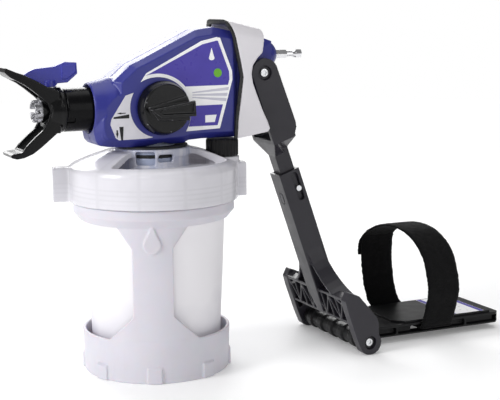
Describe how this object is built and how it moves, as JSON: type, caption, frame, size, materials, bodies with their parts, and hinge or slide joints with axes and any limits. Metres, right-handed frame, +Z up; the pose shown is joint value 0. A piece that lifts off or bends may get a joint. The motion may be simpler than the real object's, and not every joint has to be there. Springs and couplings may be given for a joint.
{
  "type": "airless paint sprayer",
  "caption": "Handheld airless paint sprayer turned by a drill: geared piston pump, cup with flexible liner, reversible spray tip and a folding arm with a strapped battery plate.",
  "frame": {"origin": "centre of the cup's base, on the floor", "axes": "+Z up along the cup's axis, +X towards the drill's end of the shaft, -X the spray direction, -Y the knob side"},
  "size_m": [0.4256, 0.132, 0.2718],
  "materials": {
    "support_plastic": "satin moulded",
    "liner_film": "translucent film",
    "cover_plastic": "translucent moulded",
    "seal_rubber": "matte",
    "black_plastic": "satin",
    "blue_plastic": "satin moulded",
    "grey_plastic": "satin moulded",
    "trim_rubber": "matte",
    "label_film": "printed film",
    "decal_film": "printed film",
    "screw_steel": "zinc",
    "cast_aluminium": "cast",
    "manifold_plastic": "satin",
    "tube_plastic": "translucent",
    "strainer_plastic": "satin",
    "bearing_steel": "ground",
    "turned_steel": "turned",
    "brass": "turned",
    "spring_steel": "drawn",
    "shank_steel": "polished",
    "gear_steel": "oiled",
    "knob_plastic": "fine texture",
    "gloss_black": "gloss",
    "tip_seal_rubber": "matte",
    "flag_plastic": "satin",
    "arm_plastic": "fine texture",
    "button_plastic": "fine texture",
    "plate_plastic": "fine texture",
    "plate_label_film": "printed film",
    "webbing": "woven"
  },
  "bodies": {
    "pump_unit": {"housing_left": "blue_plastic", "housing_right": "blue_plastic", "saddle_cover": "grey_plastic", "saddle_trim": "trim_rubber", "side_label": "label_film", "position_label": "decal_film", "housing_screws": "screw_steel", "pump_block": "cast_aluminium", "inlet_manifold": "manifold_plastic", "neck_gasket": "seal_rubber", "suction_tube": "tube_plastic", "suction_strainer": "strainer_plastic", "return_tube": "tube_plastic", "gear_frame": "cast_aluminium", "rear_bearing_block": "cast_aluminium", "shaft_bearings": "bearing_steel", "gear_bearings": "bearing_steel", "shaft_seal": "seal_rubber", "outlet_fitting": "turned_steel", "outlet_seat": "brass", "outlet_ball": "bearing_steel", "outlet_spring": "spring_steel", "piston_spring": "spring_steel", "pivot_sleeve": "turned_steel", "piston_seal": "seal_rubber"},
    "drive_shaft": {"hex_shaft": "shank_steel", "drive_pinion": "gear_steel", "shaft_clip": "spring_steel"},
    "cam_shaft": {"drive_gear": "gear_steel", "gear_shaft": "turned_steel", "swash_cam": "gear_steel"},
    "pump_piston": {"piston": "turned_steel"},
    "knob": {"prime_knob": "knob_plastic", "prime_stem": "turned_steel"},
    "nut": {"retaining_nut": "gloss_black"},
    "guard": {"tip_guard": "gloss_black", "tip_seat": "turned_steel", "tip_seal": "tip_seal_rubber"},
    "spray_tip": {"tip_flag": "flag_plastic", "tip_barrel": "turned_steel"},
    "cover": {"cup_cover": "cover_plastic", "cover_gasket": "seal_rubber"},
    "cap": {"vac_cap": "black_plastic", "vac_valve": "seal_rubber"},
    "cup": {"cup_support": "support_plastic", "flex_liner": "liner_film"},
    "arm": {"upper_arm": "arm_plastic", "arm_screws": "screw_steel", "guide_screw": "screw_steel"},
    "sleeve": {"lower_arm": "arm_plastic", "foot_screws": "screw_steel"},
    "button": {"lock_button": "button_plastic"},
    "plate": {"foot_plate": "plate_plastic", "plate_deck": "plate_plastic", "plate_label": "plate_label_film", "strap": "webbing"}
  },
  "joints": [
    {"name": "drive_spin", "type": "hinge", "parent": "pump_unit", "child": "drive_shaft", "pos_m": [0.129, 0, 0.243], "axis": [1, 0, 0], "continuous": true},
    {"name": "cam_spin", "type": "hinge", "parent": "pump_unit", "child": "cam_shaft", "pos_m": [0.053, 0, 0.22], "axis": [1, 0, 0], "continuous": true},
    {"name": "piston_stroke", "type": "slide", "parent": "pump_unit", "child": "pump_piston", "axis": [-1, 0, 0], "range_m": [-0.0044, 0]},
    {"name": "knob_turn", "type": "hinge", "parent": "pump_unit", "child": "knob", "pos_m": [0.0005, 0, 0.206], "axis": [0, -1, 0], "range_deg": [0, 90]},
    {"name": "nut_turn", "type": "hinge", "parent": "pump_unit", "child": "nut", "pos_m": [-0.06, 0, 0.206], "axis": [1, 0, 0], "range_deg": [0, 360]},
    {"name": "guard_turn", "type": "hinge", "parent": "pump_unit", "child": "guard", "pos_m": [-0.08, 0, 0.206], "axis": [1, 0, 0], "range_deg": [-90, 90]},
    {"name": "tip_lift", "type": "slide", "parent": "guard", "child": "spray_tip", "axis": [0, 0, 1], "range_m": [0, 0.045]},
    {"name": "cover_twist", "type": "hinge", "parent": "pump_unit", "child": "cover", "pos_m": [0, 0, 0.15], "axis": [0, 0, 1], "range_deg": [0, 45]},
    {"name": "cap_twist", "type": "hinge", "parent": "cover", "child": "cap", "pos_m": [0.0538, -0.0115, 0.17], "axis": [0, 0, 1], "range_deg": [0, 90]},
    {"name": "cup_drop", "type": "slide", "parent": "cover", "child": "cup", "axis": [0, 0, -1], "range_m": [0, 0.16]},
    {"name": "arm_swing", "type": "hinge", "parent": "pump_unit", "child": "arm", "pos_m": [0.088, 0, 0.2295], "axis": [0, 1, 0], "range_deg": [-70, 10]},
    {"name": "arm_length", "type": "slide", "parent": "arm", "child": "sleeve", "axis": [0.3256, 0, -0.9455], "range_m": [-0.0075, 0.011]},
    {"name": "button_press", "type": "slide", "parent": "sleeve", "child": "button", "axis": [0.9455, 0, 0.3256], "range_m": [0, 0.0015], "stiffness_N_per_m": 400},
    {"name": "plate_tilt", "type": "hinge", "parent": "sleeve", "child": "plate", "pos_m": [0.16353, 0, 0.01014], "axis": [0, 1, 0], "range_deg": [-40, 60]}
  ],
  "couplings": [
    {"joint": "cam_spin", "follows": "drive_spin", "ratio": -0.39394}
  ]
}
